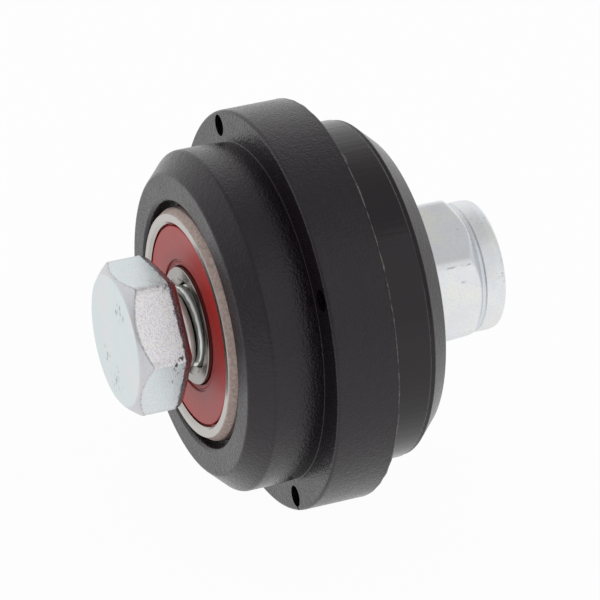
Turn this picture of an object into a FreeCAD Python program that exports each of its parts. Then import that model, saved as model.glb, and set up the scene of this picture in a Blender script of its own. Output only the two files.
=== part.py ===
# Chain roller: a ribbed plastic wheel on two sealed ball bearings, with a bolt and lock nut.
# Millimetres. The wheel spins about Y, the bolt head is at -Y and +Z is up.
# The origin is the middle of the tread.
import FreeCAD, Part
import Sketcher
import math
import os
import re

SIZES = {
    # Wheel
    "tread_diameter": 38.0,
    "tread_width": 6.0,
    "tread_rounding": 0.3,
    "rib_root_rounding": 0.3,
    "hub_diameter": 32.3,
    "hub_half_length": 7.85,
    "body_width": 19.6,
    "end_face_diameter": 28.5,
    "mouth_diameter": 23.3,
    "mouth_depth": 0.6,
    "seat_edge_break": 0.15,
    "shoulder_bore": 19.2,
    "rib_hole_diameter": 2.0,
    "rib_hole_circle": 35.2,
    "rib_hole_count": 4,
    "rib_hole_phase": 30.0,
    # Ball bearings, the common 8 x 22 x 7 size
    "bearing_bore": 8.0,
    "bearing_outside": 22.0,
    "bearing_width": 7.0,
    "bearing_overhang": 0.35,
    "ball_diameter": 3.969,
    "ball_count": 7,
    "pitch_diameter": 15.0,
    "race_clearance": 0.05,
    "outer_shoulder": 17.6,
    "outer_edge_break": 0.45,
    "seal_seat_depth": 1.2,
    "seal_seat_diameter": 19.8,
    "seal_bead_height": 0.4,
    "seal_mouth_diameter": 19.2,
    "seal_mouth_break": 0.25,
    "inner_shoulder": 12.1,
    "seal_land_diameter": 11.1,
    "land_edge_break": 0.2,
    "bore_edge_break": 0.3,
    "cage_inside": 13.5,
    "cage_outside": 16.5,
    "cage_back": 2.35,
    "cage_front": 0.95,
    # Seals
    "seal_recess": 0.25,
    "seal_rim_diameter": 18.8,
    "seal_rim_depth": 0.7,
    "seal_plate_thickness": 0.7,
    "seal_plate_inside": 12.5,
    "seal_step": 0.22,
    "seal_lip_diameter": 11.24,
    "seal_lip_thickness": 0.2,
    # Bolt
    "thread_diameter": 8.0,
    "bolt_length": 30.0,
    "bolt_tip_break": 0.7,
    "hex_across_flats": 12.8,
    "hex_corner_rounding": 0.6,
    "head_seat": 12.35,
    "head_height": 4.8,
    "head_turn": 5.5,
    "head_crown_diameter": 12.3,
    "head_crown_drop": 0.85,
    "head_foot_diameter": 13.4,
    "head_foot_rise": 0.6,
    # Lock nut
    "nut_seat": 12.2,
    "nut_height": 7.55,
    "nut_turn": 34.5,
    "nut_hex_height": 5.0,
    "nut_seat_diameter": 13.7,
    "nut_seat_drop": 0.45,
    "nut_face_diameter": 12.4,
    "nut_corner_drop": 1.15,
    "neck_diameter": 12.0,
    "neck_height": 0.45,
    "collar_diameter": 12.5,
    "collar_rounding": 0.65,
    "collar_mouth": 9.6,
    "insert_seat": 5.35,
    "insert_height": 1.9,
    "insert_outside": 10.6,
    "insert_bore": 7.3,
}
ALIAS = re.compile(r"\b[a-z]\w*\b(?!\()")

doc = FreeCAD.newDocument("chain_roller")
sheet = doc.addObject("Spreadsheet::Sheet", "Sizes")
for row, (alias, size) in enumerate(SIZES.items(), start=1):
    sheet.set(f"A{row}", alias)
    sheet.set(f"B{row}", str(size))
    sheet.setAlias(f"B{row}", alias)
doc.recompute()
nodes = []


def bound(words):
    """An expression on the sheet, from words such as "tread_width / 2"."""
    return ALIAS.sub(lambda alias: "Sizes." + alias.group(0), words)


def value(words):
    """The number that an expression gives now."""
    return float(sheet.evalExpression(bound(words)))


def new_body(label):
    """An empty body that is one piece of the product."""
    body = doc.addObject("PartDesign::Body", label)
    body.Label = label
    nodes.append(body)
    return body


def origin_feature(body, role):
    """The body's own origin plane or axis."""
    return next(item for item in body.Origin.OriginFeatures if item.Role == role)


def new_sketch(body, name, plane):
    """A sketch on one of the body's origin planes."""
    sketch = body.newObject("Sketcher::SketchObject", name)
    sketch.AttachmentSupport = [(origin_feature(body, plane), "")]
    sketch.MapMode = "FlatFace"
    return sketch


def constrain(sketch, kind, *where, size):
    """Adds one dimension and binds it to the sheet."""
    index = sketch.addConstraint(Sketcher.Constraint(kind, *where, value(size)))
    sketch.setExpression(f"Constraints[{index}]", bound(size))


def arc_through(start, end, radius):
    """An arc from start to end that bulges to the right of that line, or left for a negative radius."""
    middle = (start + end) / 2
    along = end - start
    rise = math.sqrt(radius**2 - (along.Length / 2) ** 2)
    left = FreeCAD.Vector(-along.y, along.x, 0).normalize()
    centre = middle + left * math.copysign(rise, radius)
    outermost = centre - left * radius
    return Part.Arc(start, outermost, end)


def add_outline(sketch, corners, arcs=None):
    """A closed outline of (x, y) corners, each held by two dimensions; arcs gives a radius after a corner."""
    arcs = arcs or {}
    first = sketch.GeometryCount
    places = [FreeCAD.Vector(value(x), value(y), 0) for x, y in corners]
    for index, start in enumerate(places):
        end = places[(index + 1) % len(places)]
        if index in arcs:
            edge = arc_through(start, end, value(arcs[index]))
        else:
            edge = Part.LineSegment(start, end)
        sketch.addGeometry(edge, False)
    ends = [(1, 2)] * len(places)
    for index in arcs:
        ends[index] = (1, 2) if value(arcs[index]) > 0 else (2, 1)
    for index, (x, y) in enumerate(corners):
        follower = (index + 1) % len(places)
        joint = (first + index, ends[index][1], first + follower, ends[follower][0])
        sketch.addConstraint(Sketcher.Constraint("Coincident", *joint))
        corner = (-1, 1, first + index, ends[index][0])
        constrain(sketch, "DistanceX", *corner, size=x)
        constrain(sketch, "DistanceY", *corner, size=y)
        if index in arcs:
            constrain(sketch, "Radius", first + index, size=f"abs({arcs[index]})")
    return sketch


def turn(body, kind, name, sketch):
    """A full revolution or groove of the sketch about the spin axis."""
    feature = body.newObject(kind, name)
    feature.Profile = sketch
    feature.ReferenceAxis = (sketch, ["V_Axis"])
    feature.Angle = 360
    doc.recompute()
    return feature


def turned_body(label, corners, arcs=None, mirrored=False):
    """A body of revolution about Y; a mirrored one is drawn as its half above the XZ plane."""
    body = new_body(label)
    sketch = add_outline(new_sketch(body, label + "_section", "XY_Plane"), corners, arcs)
    half = turn(body, "PartDesign::Revolution", label + "_turned", sketch)
    if mirrored:
        mirror = body.newObject("PartDesign::Mirrored", label + "_mirrored")
        mirror.Originals = [half]
        mirror.MirrorPlane = (origin_feature(body, "XZ_Plane"), [""])
        body.Tip = mirror
        doc.recompute()
    return body


def place(item, along, flipped=False):
    """Sets a piece along the spin axis, turned end for end if flipped."""
    half_turn = FreeCAD.Rotation(FreeCAD.Vector(0, 0, 1), 180 if flipped else 0)
    item.Placement = FreeCAD.Placement(FreeCAD.Vector(0, value(along), 0), half_turn)
    item.setExpression("Placement.Base.y", bound(along))


def cut_checked(body, before, name):
    """Stops the build if a cut has taken nothing away."""
    if not body.Shape.Volume < before - 0.01:
        raise RuntimeError(name + " cuts nothing")


def hexagon(body, name, turn_angle):
    """A regular hexagon around Y, by the size across its flats, with its first corner at the given angle."""
    sketch = new_sketch(body, name, "XZ_Plane")
    radius = value("hex_across_flats / 2 / cos(30)")
    start = math.radians(value(turn_angle))
    angles = [start + math.pi / 3 * side for side in range(6)]
    corners = [FreeCAD.Vector(radius * math.cos(a), radius * math.sin(a), 0) for a in angles]
    for side in range(6):
        sketch.addGeometry(Part.LineSegment(corners[side], corners[(side + 1) % 6]), False)
    for side in range(6):
        sketch.addConstraint(Sketcher.Constraint("Coincident", side, 2, (side + 1) % 6, 1))
    circle = sketch.addGeometry(Part.Circle(FreeCAD.Vector(), FreeCAD.Vector(0, 0, 1), radius), True)
    sketch.addConstraint(Sketcher.Constraint("Coincident", circle, 3, -1, 1))
    for side in range(6):
        sketch.addConstraint(Sketcher.Constraint("PointOnObject", side, 1, circle))
    for side in range(1, 6):
        sketch.addConstraint(Sketcher.Constraint("Equal", 0, side))
    constrain(sketch, "Radius", circle, size="hex_across_flats / 2 / cos(30)")
    spoke = sketch.addGeometry(Part.LineSegment(FreeCAD.Vector(), corners[0]), True)
    sketch.addConstraint(Sketcher.Constraint("Coincident", spoke, 1, -1, 1))
    sketch.addConstraint(Sketcher.Constraint("Coincident", spoke, 2, 0, 1))
    index = sketch.addConstraint(Sketcher.Constraint("Angle", -1, 1, spoke, 1, start))
    sketch.setExpression(f"Constraints[{index}]", bound(turn_angle) + " * 1 deg")
    return sketch


def round_edges(body, name, radius, chosen):
    """Rounds the edges of the body that the given test picks out."""
    base = body.Tip
    names = [f"Edge{index}" for index, edge in enumerate(base.Shape.Edges, start=1) if chosen(edge)]
    fillet = body.newObject("PartDesign::Fillet", name)
    fillet.Base = (base, names)
    fillet.Radius = value(radius)
    fillet.setExpression("Radius", bound(radius))
    body.Tip = fillet
    doc.recompute()


def ring_at(radius, distance):
    """A test for the circular edges of a radius, at a distance to either side of the XZ plane."""

    def chosen(edge):
        if not isinstance(edge.Curve, Part.Circle):
            return False
        on_radius = abs(edge.Curve.Radius - value(radius)) < 1e-4
        return on_radius and abs(abs(edge.Curve.Center.y) - value(distance)) < 1e-4

    return chosen


def hexagon_pad(body, name, turn_angle, height):
    """A hexagonal prism from the XZ plane towards +Y, with its long edges a little rounded."""
    pad = body.newObject("PartDesign::Pad", name)
    pad.Profile = hexagon(body, name + "_outline", turn_angle)
    pad.Length = value(height)
    pad.setExpression("Length", bound(height))
    pad.Reversed = True
    doc.recompute()
    half = value(height) / 2
    round_edges(body, name + "_edges", "hex_corner_rounding", lambda edge: edge.BoundBox.YLength > half)


def make_wheel():
    """The moulded wheel: a narrow tread rib on a hub with coned ends and a stepped bearing seat in each."""
    seat_depth = "body_width / 2 + bearing_overhang - bearing_width"
    body = turned_body(
        "roller_body",
        [
            ("shoulder_bore / 2", "0"),
            ("tread_diameter / 2", "0"),
            ("tread_diameter / 2", "tread_width / 2"),
            ("hub_diameter / 2", "tread_width / 2"),
            ("hub_diameter / 2", "hub_half_length"),
            ("end_face_diameter / 2", "body_width / 2"),
            ("mouth_diameter / 2", "body_width / 2"),
            ("mouth_diameter / 2", "body_width / 2 - mouth_depth"),
            ("bearing_outside / 2 + seat_edge_break", "body_width / 2 - mouth_depth"),
            ("bearing_outside / 2", "body_width / 2 - mouth_depth - seat_edge_break"),
            ("bearing_outside / 2", seat_depth),
            ("shoulder_bore / 2", seat_depth),
        ],
        mirrored=True,
    )
    round_edges(body, "tread_edges", "tread_rounding", ring_at("tread_diameter / 2", "tread_width / 2"))
    round_edges(body, "rib_roots", "rib_root_rounding", ring_at("hub_diameter / 2", "tread_width / 2"))

    before = body.Shape.Volume
    sketch = new_sketch(body, "rib_hole_outline", "XZ_Plane")
    centre_x = "rib_hole_circle / 2 * cos(rib_hole_phase)"
    centre_z = "rib_hole_circle / 2 * sin(rib_hole_phase)"
    centre = FreeCAD.Vector(value(centre_x), value(centre_z), 0)
    circle = Part.Circle(centre, FreeCAD.Vector(0, 0, 1), value("rib_hole_diameter / 2"))
    hole = sketch.addGeometry(circle, False)
    constrain(sketch, "DistanceX", -1, 1, hole, 3, size=centre_x)
    constrain(sketch, "DistanceY", -1, 1, hole, 3, size=centre_z)
    constrain(sketch, "Radius", hole, size="rib_hole_diameter / 2")
    pocket = body.newObject("PartDesign::Pocket", "rib_hole")
    pocket.Profile = sketch
    pocket.Type = "ThroughAll"
    pocket.Midplane = True
    doc.recompute()
    pattern = body.newObject("PartDesign::PolarPattern", "rib_holes")
    pattern.Originals = [pocket]
    pattern.Axis = (sketch, ["N_Axis"])
    pattern.Angle = 360
    pattern.Occurrences = int(value("rib_hole_count"))
    pattern.setExpression("Occurrences", bound("rib_hole_count"))
    body.Tip = pattern
    doc.recompute()
    cut_checked(body, before, "rib_holes")


def make_bearing(side, along):
    """One sealed deep-groove ball bearing: two rings, a crown cage, the balls and a seal in each face."""
    groove = "(ball_diameter / 2 + race_clearance)"
    outer_land = "outer_shoulder / 2"
    outer_rise = f"sqrt({groove}^2 - ({outer_land} - pitch_diameter / 2)^2)"
    seat = "bearing_width / 2 - seal_seat_depth"
    outer_ring = turned_body(
        side + "_outer_ring",
        [
            ("bearing_outside / 2", "0"),
            ("bearing_outside / 2", "bearing_width / 2 - outer_edge_break"),
            ("bearing_outside / 2 - outer_edge_break", "bearing_width / 2"),
            ("seal_mouth_diameter / 2 + seal_mouth_break", "bearing_width / 2"),
            ("seal_mouth_diameter / 2", "bearing_width / 2 - seal_mouth_break"),
            ("seal_mouth_diameter / 2", f"{seat} + seal_bead_height + 0.25"),
            ("seal_seat_diameter / 2", f"{seat} + seal_bead_height"),
            ("seal_seat_diameter / 2", seat),
            (outer_land, seat),
            (outer_land, outer_rise),
            (f"pitch_diameter / 2 + {groove}", "0"),
        ],
        arcs={9: f"-1 * {groove}"},
        mirrored=True,
    )
    place(outer_ring, along)

    inner_land = "inner_shoulder / 2"
    inner_rise = f"sqrt({groove}^2 - (pitch_diameter / 2 - {inner_land})^2)"
    inner_ring = turned_body(
        side + "_inner_ring",
        [
            (f"pitch_diameter / 2 - {groove}", "0"),
            (inner_land, inner_rise),
            (inner_land, seat),
            ("seal_land_diameter / 2", seat),
            ("seal_land_diameter / 2", "bearing_width / 2 - land_edge_break"),
            ("seal_land_diameter / 2 - land_edge_break", "bearing_width / 2"),
            ("bearing_bore / 2 + bore_edge_break", "bearing_width / 2"),
            ("bearing_bore / 2", "bearing_width / 2 - bore_edge_break"),
            ("bearing_bore / 2", "0"),
        ],
        arcs={0: f"-1 * {groove}"},
        mirrored=True,
    )
    place(inner_ring, along)

    make_cage(side, along)
    for number in range(1, SIZES["ball_count"] + 1):
        ball = doc.addObject("Part::Sphere", f"{side}_ball_{number}")
        ball.Label = f"{side}_ball_{number}"
        ball.setExpression("Radius", bound("ball_diameter / 2"))
        angle = f"{number} * 360 / ball_count"
        ball.setExpression("Placement.Base.x", bound(f"pitch_diameter / 2 * cos({angle})"))
        ball.setExpression("Placement.Base.y", bound(along))
        ball.setExpression("Placement.Base.z", bound(f"pitch_diameter / 2 * sin({angle})"))
        nodes.append(ball)
    outside_is_front = side == "front"
    make_seal(side + "_outer_seal", along, outside_is_front)
    make_seal(side + "_inner_seal", along, not outside_is_front)


def make_cage(side, along):
    """A moulded crown cage: a ring with a round pocket for each ball, open towards +Y."""
    body = turned_body(
        side + "_cage",
        [
            ("cage_inside / 2", "0"),
            ("cage_outside / 2", "0"),
            ("cage_outside / 2", "cage_back + cage_front"),
            ("cage_inside / 2", "cage_back + cage_front"),
        ],
    )
    before = body.Shape.Volume
    pocket = body.newObject("PartDesign::SubtractiveSphere", side + "_pocket")
    pocket.setExpression("Radius", bound("ball_diameter / 2 + race_clearance"))
    pocket.AttachmentSupport = [(origin_feature(body, "XY_Plane"), "")]
    pocket.MapMode = "FlatFace"
    # The sphere's poles point along the ring's radius and its seam up, both away from the wall that is left.
    third_turn = FreeCAD.Rotation(FreeCAD.Vector(1, 1, 1), 120)
    pocket.AttachmentOffset = FreeCAD.Placement(FreeCAD.Vector(), third_turn)
    pocket.setExpression("AttachmentOffset.Base.x", bound("pitch_diameter / 2"))
    pocket.setExpression("AttachmentOffset.Base.y", bound("cage_back"))
    doc.recompute()
    pattern = body.newObject("PartDesign::PolarPattern", side + "_pockets")
    pattern.Originals = [pocket]
    pattern.Axis = (origin_feature(body, "Y_Axis"), [""])
    pattern.Angle = 360
    pattern.Occurrences = SIZES["ball_count"]
    pattern.setExpression("Occurrences", bound("ball_count"))
    body.Tip = pattern
    doc.recompute()
    cut_checked(body, before, side + "_pockets")
    place(body, along + " - cage_back")


def make_seal(label, along, flipped):
    """A rubber seal: a bead held in the outer ring, a flat plate and a lip clear of the inner ring."""
    seat = "bearing_width / 2 - seal_seat_depth"
    top = "bearing_width / 2 - seal_recess"
    under = f"{top} - seal_plate_thickness"
    step = f"{top} - seal_step"
    body = turned_body(
        label,
        [
            ("seal_seat_diameter / 2", seat),
            ("seal_seat_diameter / 2", f"{seat} + seal_bead_height"),
            ("seal_mouth_diameter / 2", f"{seat} + seal_bead_height + 0.1"),
            ("seal_rim_diameter / 2", "bearing_width / 2 - seal_rim_depth"),
            ("seal_rim_diameter / 2", top),
            ("seal_plate_inside / 2", top),
            ("seal_plate_inside / 2 - 0.05", step),
            ("seal_lip_diameter / 2 + 0.3", step),
            ("seal_lip_diameter / 2", f"{step} - seal_lip_thickness"),
            ("seal_lip_diameter / 2", f"{step} - 2 * seal_lip_thickness"),
            ("seal_plate_inside / 2", under),
            ("outer_shoulder / 2", under),
            ("outer_shoulder / 2 + 0.2", seat),
        ],
    )
    place(body, along, flipped)


def make_bolt():
    """The hexagon-head bolt, drawn from the top of its head to its tip, with the thread as a plain shank."""
    body = new_body("hex_bolt")
    hexagon_pad(body, "head", "head_turn", "head_height")
    tip = "head_height + bolt_length"
    shank = add_outline(
        new_sketch(body, "shank_section", "XY_Plane"),
        [
            ("0", "head_height / 2"),
            ("thread_diameter / 2", "head_height / 2"),
            ("thread_diameter / 2", f"{tip} - bolt_tip_break"),
            ("thread_diameter / 2 - bolt_tip_break", tip),
            ("0", tip),
        ],
    )
    turn(body, "PartDesign::Revolution", "shank", shank)
    before = body.Shape.Volume
    corners = new_sketch(body, "head_corner_section", "XY_Plane")
    reach = "hex_across_flats"
    slope = "head_crown_drop / (hex_across_flats / cos(30) - head_crown_diameter) * 2"
    add_outline(
        corners,
        [
            ("head_crown_diameter / 2", "0"),
            (reach, "0"),
            (reach, f"({reach} - head_crown_diameter / 2) * {slope}"),
        ],
    )
    foot_slope = "head_foot_rise / (hex_across_flats / cos(30) - head_foot_diameter) * 2"
    add_outline(
        corners,
        [
            ("head_foot_diameter / 2", "head_height"),
            (reach, "head_height"),
            (reach, f"head_height - ({reach} - head_foot_diameter / 2) * {foot_slope}"),
        ],
    )
    turn(body, "PartDesign::Groove", "head_corners", corners)
    cut_checked(body, before, "head_corners")
    place(body, "-1 * head_seat - head_height")


def make_nut():
    """The lock nut: a chamfered hexagon, a neck, and a round collar rolled over its insert."""
    body = new_body("lock_nut")
    hexagon_pad(body, "nut_hexagon", "nut_turn", "nut_hex_height")
    before = body.Shape.Volume
    corners = new_sketch(body, "nut_corner_section", "XY_Plane")
    reach = "hex_across_flats"
    slope = "nut_corner_drop / (hex_across_flats / cos(30) - nut_face_diameter) * 2"
    drop = f"({reach} - nut_face_diameter / 2) * {slope}"
    seat_slope = "nut_seat_drop / (hex_across_flats / cos(30) - nut_seat_diameter) * 2"
    seat_drop = f"({reach} - nut_seat_diameter / 2) * {seat_slope}"
    add_outline(corners, [("nut_seat_diameter / 2", "0"), (reach, "0"), (reach, seat_drop)])
    top = "nut_hex_height"
    add_outline(corners, [("nut_face_diameter / 2", top), (reach, top), (reach, f"{top} - {drop}")])
    turn(body, "PartDesign::Groove", "nut_corners", corners)
    cut_checked(body, before, "nut_corners")

    collar = add_outline(
        new_sketch(body, "collar_section", "XY_Plane"),
        [
            ("thread_diameter / 2", "nut_hex_height / 2"),
            ("neck_diameter / 2", "nut_hex_height / 2"),
            ("neck_diameter / 2", "nut_hex_height + neck_height"),
            ("collar_diameter / 2", "nut_hex_height + neck_height"),
            ("collar_diameter / 2", "nut_height - collar_rounding"),
            ("collar_diameter / 2 - collar_rounding", "nut_height"),
            ("collar_mouth / 2", "nut_height"),
            ("collar_mouth / 2", "insert_seat + insert_height"),
            ("thread_diameter / 2", "insert_seat + insert_height"),
        ],
        arcs={4: "collar_rounding"},
    )
    turn(body, "PartDesign::Revolution", "collar", collar)
    before = body.Shape.Volume
    bore = add_outline(
        new_sketch(body, "nut_bore_section", "XY_Plane"),
        [
            ("0", "0"),
            ("thread_diameter / 2", "0"),
            ("thread_diameter / 2", "insert_seat"),
            ("insert_outside / 2", "insert_seat"),
            ("insert_outside / 2", "insert_seat + insert_height"),
            ("0", "insert_seat + insert_height"),
        ],
    )
    turn(body, "PartDesign::Groove", "nut_bore", bore)
    cut_checked(body, before, "nut_bore")
    place(body, "nut_seat")

    insert = turned_body(
        "nut_insert",
        [
            ("insert_bore / 2", "0"),
            ("insert_outside / 2", "0"),
            ("insert_outside / 2", "insert_height"),
            ("insert_bore / 2", "insert_height"),
        ],
    )
    place(insert, "nut_seat + insert_seat")


def make_spacer():
    """The tube that holds the two inner rings apart when the bolt is pulled tight."""
    turned_body(
        "inner_spacer",
        [
            ("bearing_bore / 2", "0"),
            ("seal_land_diameter / 2", "0"),
            ("seal_land_diameter / 2", "body_width / 2 + bearing_overhang - bearing_width"),
            ("bearing_bore / 2", "body_width / 2 + bearing_overhang - bearing_width"),
        ],
        mirrored=True,
    )


def write_parts():
    """Checks every object of the document, then writes one file for each piece."""
    doc.recompute()
    for item in doc.Objects:
        if "Invalid" in item.State or "Error" in item.State:
            raise RuntimeError(f"{item.Label} failed: {item.State}")
    for node in nodes:
        shape = node.Shape
        if shape.isNull() or not shape.isValid() or len(shape.Solids) != 1:
            raise RuntimeError(node.Label + " is not one valid solid")
    os.makedirs("parts", exist_ok=True)
    for node in nodes:
        node.Shape.exportStep(f"parts/{node.Label}.step")
        print(f"{node.Label}: {node.Shape.Volume:.1f} mm3")


bearing_centre = "(body_width / 2 + bearing_overhang - bearing_width / 2)"
make_wheel()
make_bearing("front", f"-1 * {bearing_centre}")
make_bearing("rear", bearing_centre)
make_spacer()
make_bolt()
make_nut()
write_parts()
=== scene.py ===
# %% [markdown]
# # A chain roller and its finishes
# A chain roller is a small plastic wheel that carries or guides a drive chain. It turns on two sealed
# ball bearings, and a bolt with a lock nut holds it to a frame. The solids come from CAD and are loaded
# as a fixed frame in metres, with the spin axis along Y and the bolt head at -Y, so every piece goes
# where the solids say. The numbers below are in millimetres, and turn into metres only where a mesh, a
# lamp or the camera is made.

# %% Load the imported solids
import bmesh
import bpy
import numpy as np
from mathutils import Matrix


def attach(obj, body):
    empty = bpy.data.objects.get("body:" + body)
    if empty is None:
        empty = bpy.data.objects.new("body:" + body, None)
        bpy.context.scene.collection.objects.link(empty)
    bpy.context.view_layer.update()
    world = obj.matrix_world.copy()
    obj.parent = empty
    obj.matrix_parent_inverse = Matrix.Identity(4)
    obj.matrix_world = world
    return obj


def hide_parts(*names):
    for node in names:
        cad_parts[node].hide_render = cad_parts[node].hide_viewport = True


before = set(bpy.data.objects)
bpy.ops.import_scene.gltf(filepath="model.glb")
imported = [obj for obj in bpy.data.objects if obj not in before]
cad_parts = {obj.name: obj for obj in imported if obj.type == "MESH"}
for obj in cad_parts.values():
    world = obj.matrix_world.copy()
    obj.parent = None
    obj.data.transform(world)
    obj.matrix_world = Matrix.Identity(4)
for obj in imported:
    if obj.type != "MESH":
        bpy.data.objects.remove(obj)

MM = 0.001
scene = bpy.context.scene
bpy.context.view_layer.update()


# %% [markdown]
# ## Camera
# The picture was taken with a long lens from the right of the bolt head and about thirty degrees above
# it. A long lens flattens perspective, so circles on the near and far side come out nearly the same
# size. The camera is given by three unit directions (right, up and back towards the viewer) and by a
# distance, which is easier to reason about than three angles. It was held half a degree out of level,
# so its right is turned by that much.

# %% Camera at the picture's angle
azimuth, elevation, roll = np.radians([67.384, 29.04, -0.548])
DISTANCE, MOVED_RIGHT, MOVED_UP = 400.0, 1.205, 0.422
PIXELS_PER_MM, PICTURE_WIDTH, SENSOR_WIDTH = 10.73, 600, 36.0


def facing(place, right, back):
    """The placing of a camera or lamp: its origin in millimetres, and its axes to right, up and back."""
    turn = np.column_stack([right, np.cross(back, right), back])
    return Matrix.Translation(place * MM) @ Matrix(turn.tolist()).to_4x4()


level = np.cos(elevation)
camera_back = np.array([np.sin(azimuth) * level, -np.cos(azimuth) * level, np.sin(elevation)])
level_right = np.array([np.cos(azimuth), np.sin(azimuth), 0.0])
camera_right = np.cos(roll) * level_right + np.sin(roll) * np.cross(camera_back, level_right)
camera_up = np.cross(camera_back, camera_right)
camera_place = DISTANCE * camera_back + MOVED_RIGHT * camera_right + MOVED_UP * camera_up

camera_data = bpy.data.cameras.new("camera")
camera_data.sensor_width = SENSOR_WIDTH
camera_data.lens = DISTANCE * PIXELS_PER_MM / PICTURE_WIDTH * SENSOR_WIDTH
camera = bpy.data.objects.new("camera", camera_data)
scene.collection.objects.link(camera)
camera.matrix_world = facing(camera_place, camera_right, camera_back)
scene.camera = camera
print(f"lens {camera_data.lens:.0f} mm, {np.linalg.norm(camera_place):.0f} mm from the wheel's middle")

# %% [markdown]
# ## Meshes from grids
# Every new piece is a grid of points: rows along a profile, columns round the axis. Joining each point
# to its neighbours gives the faces. The columns always close into a ring. The rows close too, or they
# end in a pole on the axis, where the points that fall together are merged, or in a flat cap. Faces
# that meet at a small angle are shaded as one smooth surface, and any others keep a sharp edge between
# them.

# %% From a grid to a mesh object
MERGED_WITHIN = 1e-8  # metres
SHARP_ANGLE = np.radians(38)


def grid_piece(name, points, ring_of_rows=True):
    """A mesh object from points[row, column] in millimetres.

    A face joins the points (row, column), (row, column + 1), (row + 1, column + 1) and (row + 1, column).
    """
    rows, columns = points.shape[:2]
    index = np.arange(rows * columns).reshape(rows, columns)
    index = np.column_stack([index, index[:, :1]])
    if ring_of_rows:
        index = np.vstack([index, index[:1]])
    corners = [index[:-1, :-1], index[:-1, 1:], index[1:, 1:], index[1:, :-1]]
    quads = np.stack(corners, axis=-1).reshape(-1, 4)
    mesh = bpy.data.meshes.new(name)
    mesh.vertices.add(rows * columns)
    mesh.vertices.foreach_set("co", (points * MM).ravel())
    mesh.loops.add(quads.size)
    mesh.loops.foreach_set("vertex_index", quads.ravel())
    mesh.polygons.add(len(quads))
    mesh.polygons.foreach_set("loop_start", np.arange(0, quads.size, 4))
    mesh.update(calc_edges=True)
    shaped = bmesh.new()
    shaped.from_mesh(mesh)
    bmesh.ops.remove_doubles(shaped, verts=shaped.verts, dist=MERGED_WITHIN)
    if not ring_of_rows:
        bmesh.ops.holes_fill(shaped, edges=shaped.edges)
    bmesh.ops.recalc_face_normals(shaped, faces=shaped.faces)
    shaped.to_mesh(mesh)
    shaped.free()
    piece = bpy.data.objects.new(name, mesh)
    scene.collection.objects.link(piece)
    return piece


def settle(piece, body, slot, *replaced):
    """Shades a piece smoothly up to real edges, ties it to its body and hides the solids it replaces; the
    slot is not used.
    """
    piece.data.shade_smooth()
    piece.data.set_sharp_from_angle(angle=SHARP_ANGLE)
    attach(piece, body)
    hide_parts(*replaced)
    print(f"{piece.name}: {len(piece.data.polygons)} faces, rides on {body}")


print("edges stay sharp from", round(np.degrees(SHARP_ANGLE)), "degrees")

# %% [markdown]
# A turned or moulded part has no perfectly sharp corner, and the thin highlight along a small radius is
# what makes an edge look real. A Bevel modifier could do it, but here the profile itself is rounded
# before it is turned, which gives each corner its own radius. Where a rounding would use up a side, it
# is held to less than half of it. One plain point just outside each end of an arc keeps flat faces flat
# in the shading.

# %% Profiles with rounded corners
ARC_POINTS = 7
MOST_OF_SIDE = 0.42
GUARD, GUARD_SHARE = 0.08, 0.06


def unit(vectors):
    """Vectors of length one in the same directions."""
    return vectors / np.linalg.norm(vectors, axis=-1, keepdims=True)


def rounded(corners, closed=True):
    """A profile of (along, radius) points through corners of (along, radius, rounding).

    A corner is cut back along both of its sides by rounding / tan(half its angle). The arc between the
    cuts has its centre on the corner's bisector, and each of its points is the centre plus a weighted sum
    of the two spokes to its ends, weighted by the sines of the angles that are left to turn.
    """
    corners = np.asarray(corners, float)
    if closed:
        corners = np.concatenate([corners[..., -1:, :], corners, corners[..., :1, :]], axis=-2)
    point, rounding = corners[..., 1:-1, :2], corners[..., 1:-1, 2]
    to_last = corners[..., :-2, :2] - point
    to_next = corners[..., 2:, :2] - point
    reach = np.minimum(np.linalg.norm(to_last, axis=-1), np.linalg.norm(to_next, axis=-1))
    to_last, to_next = unit(to_last), unit(to_next)
    half = np.arccos(np.clip((to_last * to_next).sum(-1), -1, 1)) / 2
    cut = np.minimum(rounding / np.tan(half), MOST_OF_SIDE * reach)[..., None]
    half = half[..., None]
    centre = point + unit(to_last + to_next) * cut / np.cos(half)
    first = (point + to_last * cut - centre)[..., None, :]
    last = (point + to_next * cut - centre)[..., None, :]
    turned_by = np.pi - 2 * half[..., None, :]
    share = np.linspace(0, 1, ARC_POINTS)[:, None]
    arc = np.sin((1 - share) * turned_by) * first + np.sin(share * turned_by) * last
    arc = centre[..., None, :] + arc / np.sin(turned_by)
    guard = np.minimum(GUARD, GUARD_SHARE * reach)[..., None]
    before = (point + to_last * (cut + guard))[..., None, :]
    after = (point + to_next * (cut + guard))[..., None, :]
    rows = np.concatenate([before, arc, after], axis=-2)
    rows = rows.reshape(rows.shape[:-3] + (-1, 2))
    if closed:
        return rows
    return np.concatenate([corners[..., :1, :2], rows, corners[..., -1:, :2]], axis=-2)


def round_axis(along, radius, angles):
    """Points round Y: x = radius cos(angle), y = along, z = radius sin(angle)."""
    points = radius * np.cos(angles), along, radius * np.sin(angles)
    return np.stack(np.broadcast_arrays(*points), axis=-1)


def turned(profile, angles):
    """A profile of (along, radius) carried round Y: a row for each point, a column for each angle."""
    profile = np.broadcast_to(profile, (len(angles),) + profile.shape[-2:])
    return round_axis(profile[..., 0].T, profile[..., 1].T, angles)


def even_angles(count):
    """Angles all round, evenly spread."""
    return np.linspace(0, 2 * np.pi, count, endpoint=False)


square = rounded([(0, 1, 0.1), (0, 2, 0.1), (1, 2, 0.1), (1, 1, 0.1)])
print("a square with rounded corners has", len(square), "points")

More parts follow.
